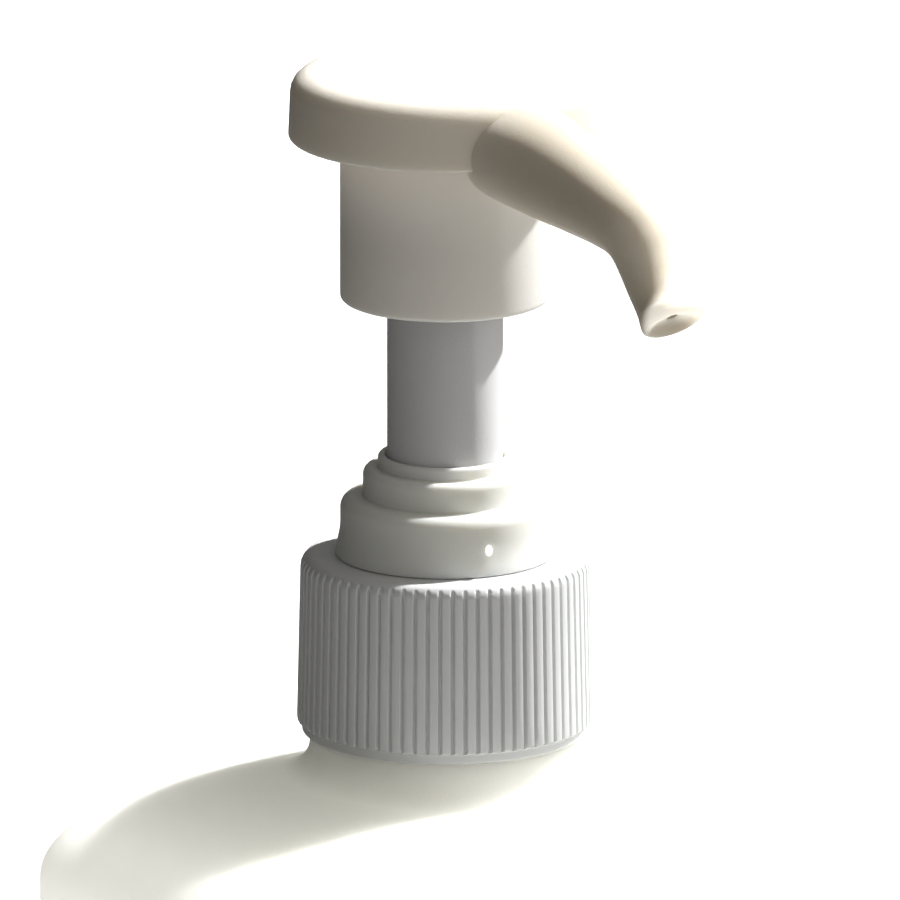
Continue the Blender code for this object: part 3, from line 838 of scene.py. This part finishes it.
def make_camera():
    camera = bpy.data.cameras.new("camera")
    item = bpy.data.objects.new("camera", camera)
    bpy.context.scene.collection.objects.link(item)
    camera.sensor_width = 36.0
    camera.lens = camera.sensor_width * VIEW_DISTANCE / VIEW_WIDTH
    camera.clip_end = 100.0
    towards = view_direction(VIEW_TURN, VIEW_RISE)
    right = Vector((cos(radians(VIEW_TURN)), sin(radians(VIEW_TURN)), 0.0))
    target = Vector((0.0, 0.0, SEAT + VIEW_HEIGHT)) + right * VIEW_SHIFT
    item.location = (target + towards * VIEW_DISTANCE) * MM
    item.rotation_euler = (-towards).to_track_quat("-Z", "Y").to_euler()
    bpy.context.scene.camera = item


def make_light():
    sun = bpy.data.lights.new("sun", "SUN")
    sun.energy = SUN_STRENGTH
    sun.angle = radians(SUN_SPREAD)
    sun.color = (1.0, 1.0, 0.99)
    item = bpy.data.objects.new("sun", sun)
    bpy.context.scene.collection.objects.link(item)
    towards = view_direction(VIEW_TURN + SUN_TURN, SUN_RISE)
    item.rotation_euler = towards.to_track_quat("Z", "Y").to_euler()


def facing(tree, coordinate, direction, low, high, start=-1.0):
    """A value that rises from low to high as the surroundings' direction turns towards another."""
    product = tree.nodes.new("ShaderNodeVectorMath")
    product.operation = "DOT_PRODUCT"
    product.inputs[1].default_value = direction
    tree.links.new(coordinate.outputs["Generated"], product.inputs[0])
    ramp = tree.nodes.new("ShaderNodeMapRange")
    ramp.inputs["From Min"].default_value = start
    ramp.inputs["From Max"].default_value = 1.0
    ramp.inputs["To Min"].default_value = low
    ramp.inputs["To Max"].default_value = high
    tree.links.new(product.outputs["Value"], ramp.inputs["Value"])
    return ramp.outputs["Result"]


def make_world():
    """Soft surroundings: dim on the left, brighter on the right and below, white where seen directly."""
    world = bpy.data.worlds.new("surroundings")
    bpy.context.scene.world = world
    world.use_nodes = True
    tree = world.node_tree
    background = tree.nodes["Background"]
    coordinate = tree.nodes.new("ShaderNodeTexCoord")
    across = facing(tree, coordinate, view_direction(VIEW_TURN + 66.0, -4.0), SIDE_DIM, SIDE_BRIGHT,
                    SIDE_START)
    below = facing(tree, coordinate, (0.0, 0.0, -1.0), -BOUNCE, BOUNCE)
    bounce = tree.nodes.new("ShaderNodeMath")
    bounce.operation = "MAXIMUM"
    bounce.inputs[1].default_value = 0.0
    tree.links.new(below, bounce.inputs[0])
    total = tree.nodes.new("ShaderNodeMath")
    total.operation = "ADD"
    tree.links.new(across, total.inputs[0])
    tree.links.new(bounce.outputs[0], total.inputs[1])
    path = tree.nodes.new("ShaderNodeLightPath")
    seen = tree.nodes.new("ShaderNodeMix")
    seen.data_type = "FLOAT"
    tree.links.new(path.outputs["Is Camera Ray"], seen.inputs[0])
    tree.links.new(total.outputs[0], seen.inputs[2])
    seen.inputs[3].default_value = 1.0
    tree.links.new(seen.outputs[0], background.inputs["Strength"])
    background.inputs["Color"].default_value = (1.0, 0.985, 0.95, 1.0)


# --- Assembly ---

def place(item, body, node, slot, material):
    item.data.materials.clear()
    item.data.materials.append(material)
    item.data.polygons.foreach_set("material_index", [0] * len(item.data.polygons))
    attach(item, body)
    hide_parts(node)
    return item


def dress():
    head_white = moulded("head_plastic_warm", (0.80, 0.755, 0.68), (0.77, 0.725, 0.65), 0.36, 0.85, 2.6,
                         reach=(1.0, 0.97, 0.93))
    # painted shade: a deeper, warmer tint towards the spout
    paint_warm_shade_towards_spout(head_white, (0.96, 0.925, 0.86))
    stem_white = moulded("stem_plastic_cool", (0.70, 0.70, 0.71), (0.68, 0.68, 0.69), 0.33, 0.5, 1.2)
    collar_white = moulded("collar_plastic", (0.82, 0.82, 0.78), (0.79, 0.79, 0.75), 0.36, 0.85, 2.2)
    closure_white = moulded("closure_plastic_satin", (0.73, 0.74, 0.74), (0.70, 0.71, 0.72), 0.38,
                            0.15, 0.4)
    sleeve_white = moulded("sleeve_plastic_thin", (0.84, 0.82, 0.78), (0.82, 0.79, 0.75), 0.35, 0.9, 2.0)
    # painted light: the sleeve glows warmly, more strongly towards its top under the drum
    paint_glow_along(sleeve_white, "Z", ((SEAT + 72.0, 0.0), (SEAT + 88.0, 1.0)), (1.0, 0.9, 0.78), 0.12)
    # painted light: the spout's tip glows, brightest at the mouth and fading about 3 mm back along the
    # spout
    paint_glow_along(head_white, "Y", ((-60.5, 1.0), (-57.5, 0.0)), (1.0, 0.98, 0.9), 0.55)
    milky = moulded("bottle_polyethylene", (0.82, 0.82, 0.78), (0.80, 0.80, 0.76), 0.40, 1.0, 12.0,
                    grain=0.03, flow=(1.0, 1.0, 0.35), reach=(1.0, 0.98, 0.93))
    milky.node_tree.nodes["Principled BSDF"].subsurface_method = "BURLEY"
    # painted light: the bottle glows below its shoulder, brightest about 22 mm under the closure's lower
    # edge and fading towards the neck
    painted_shoulder_glow = ((SEAT - 36.0, 0.2), (SEAT - 22.0, 1.0), (SEAT - 14.0, 0.65), (SEAT - 4.0, 0.05))
    paint_glow_along(milky, "Z", painted_shoulder_glow, (1.0, 0.99, 0.95), 0.5)
    # painted light: the pip glows evenly so that it shows as a small bright dot
    bead = moulded("pip_plastic_painted_glow", (0.92, 0.92, 0.90), (0.90, 0.90, 0.88), 0.2, 0.5, 0.6)
    paint_glow_from_within(bead, (1.0, 1.0, 0.98), 0.7)
    natural = moulded("natural_polypropylene", (0.78, 0.79, 0.78), (0.74, 0.76, 0.75), 0.42, 0.3, 2.0)
    soft = moulded("seal_polyethylene", (0.70, 0.72, 0.72), (0.66, 0.69, 0.69), 0.48, 0.2, 1.5)
    glass = glass_ball()
    steel = spring_wire()

    place(make_bottle(), "bottle", "bottle", "bottle_plastic", milky)
    place(make_closure(), "closure", "closure", "closure_plastic", closure_white)
    place(make_collar(), "pump_body", "collar", "head_plastic", collar_white)
    pip = make_pip()
    pip.data.materials.append(bead)
    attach(pip, "pump_body")
    place(make_stem(), "head", "stem", "head_plastic", stem_white)
    place(make_sleeve(), "head", "skirt_sleeve", "sleeve_plastic", sleeve_white)
    place(make_head(), "head", "actuator_head", "head_plastic", head_white)
    place(make_gasket(), "pump_body", "neck_gasket", "seal_plastic", soft)
    place(make_housing(), "pump_body", "pump_housing", "inner_plastic", natural)
    place(make_dip_tube(), "pump_body", "dip_tube", "inner_plastic", natural)
    place(make_piston_core(), "head", "piston_core", "inner_plastic", natural)
    place(make_piston_seal(), "plunger", "piston_seal", "seal_plastic", soft)
    place(make_ball("outlet_ball_glass", "outlet_ball"), "outlet_ball", "outlet_ball", "ball_glass", glass)
    place(make_ball("inlet_ball_glass", "inlet_ball"), "inlet_ball", "inlet_ball", "ball_glass", glass)
    place(make_cage("outlet_cage_ring", "outlet_cage", STEM_BORE_R - GAP, CAGE_BORE_R), "head",
          "outlet_cage", "inner_plastic", natural)
    place(make_cage("inlet_cage_ring", "inlet_cage", CAGE_SEAT_R - GAP, CAGE_BORE_R), "pump_body",
          "inlet_cage", "inner_plastic", natural)
    spring = place(make_spring(), "pump_body", "return_spring", "spring_steel", steel)
    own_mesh(spring)


bpy.context.scene.view_settings.view_transform = "Standard"
make_floor()
make_camera()
make_light()
make_world()
dress()
